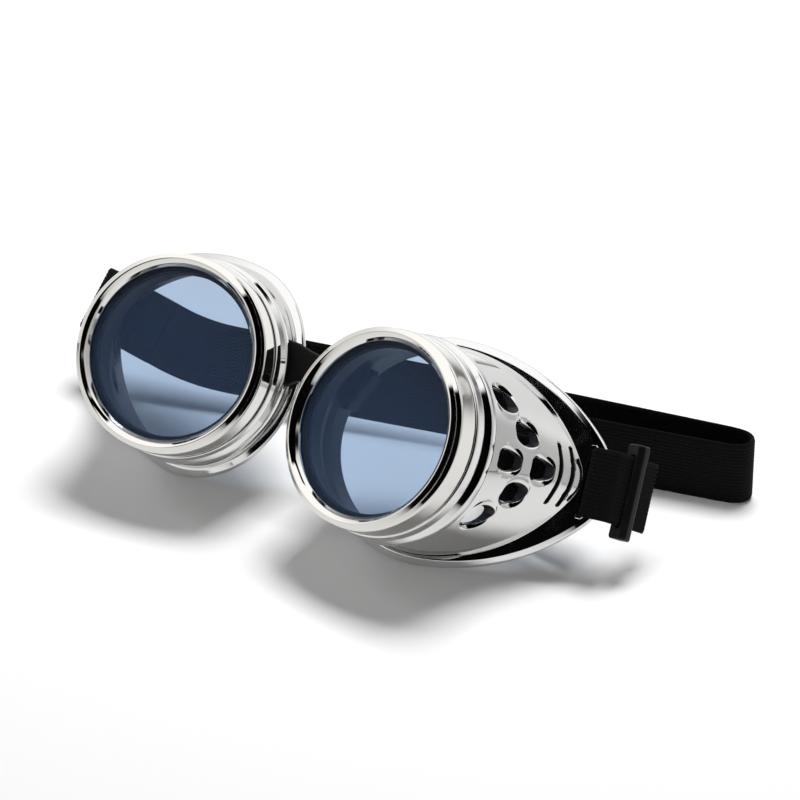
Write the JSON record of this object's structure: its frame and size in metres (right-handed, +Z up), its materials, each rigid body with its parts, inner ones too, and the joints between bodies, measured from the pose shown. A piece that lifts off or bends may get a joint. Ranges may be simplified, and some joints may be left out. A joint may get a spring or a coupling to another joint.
{
  "type": "goggles",
  "caption": "Round-lens cup goggles with screw-on lens rings, flared vented eyecups, a soft nose bridge and an adjustable elastic head strap.",
  "frame": {"origin": "middle of the bounding box on the table that the goggles lie on", "axes": "+X to the wearer's left, -Y forward, the way the lenses lean from, and +Z up from the table; the lens axes point forward and up"},
  "size_m": [0.2006, 0.1118, 0.0683],
  "materials": {
    "eyecup_chrome": "polished chrome plating on moulded plastic",
    "ring_chrome": "polished chrome plating on moulded plastic",
    "lens_tint": "polished clear plastic with a dark blue tint",
    "gasket_rubber": "matt soft rubber",
    "bridge_rubber": "satin soft moulded rubber",
    "strap_elastic": "ribbed woven elastic",
    "slider_plastic": "smooth moulded plastic",
    "stitch_thread": "twisted sewing thread"
  },
  "bodies": {
    "left_cup": {"eyecup_left": "eyecup_chrome", "nose_bridge": "bridge_rubber", "head_strap": "strap_elastic"},
    "left_lens": {"lens_left": "lens_tint", "lens_gasket_left": "gasket_rubber"},
    "left_ring": {"lens_ring_left": "ring_chrome"},
    "right_cup": {"eyecup_right": "eyecup_chrome", "strap_stitches": "stitch_thread"},
    "right_lens": {"lens_right": "lens_tint", "lens_gasket_right": "gasket_rubber"},
    "right_ring": {"lens_ring_right": "ring_chrome"},
    "slider": {"strap_slider": "slider_plastic"}
  },
  "joints": [
    {"name": "bridge_fold", "type": "hinge", "parent": "left_cup", "child": "right_cup", "pos_m": [-0.00701, -0.01977, 0.03156], "axis": [0, 0.6039, 0.7971], "range_deg": [-20, 20], "stiffness_Nm_per_rad": 0.15, "deforming": ["nose_bridge", "head_strap"]},
    {"name": "lens_left_advance", "type": "slide", "parent": "left_cup", "child": "left_lens", "axis": [-0.1343, -0.7898, 0.5984], "range_m": [0, 0.00375]},
    {"name": "ring_left_turn", "type": "hinge", "parent": "left_lens", "child": "left_ring", "pos_m": [0.02794, -0.03921, 0.0463], "axis": [-0.1343, -0.7898, 0.5984], "range_deg": [0, 540]},
    {"name": "lens_right_advance", "type": "slide", "parent": "right_cup", "child": "right_lens", "axis": [0.1343, -0.7898, 0.5984], "range_m": [0, 0.00375]},
    {"name": "ring_right_turn", "type": "hinge", "parent": "right_lens", "child": "right_ring", "pos_m": [-0.04196, -0.03921, 0.0463], "axis": [0.1343, -0.7898, 0.5984], "range_deg": [0, 540]},
    {"name": "slider_slide", "type": "slide", "parent": "left_cup", "child": "slider", "axis": [0.2893, 0.777, -0.5591], "range_m": [-0.003, 0.004]}
  ],
  "couplings": [
    {"joint": "lens_left_advance", "follows": "ring_left_turn", "m_per_rad": 0.00039789},
    {"joint": "lens_right_advance", "follows": "ring_right_turn", "m_per_rad": 0.00039789}
  ]
}
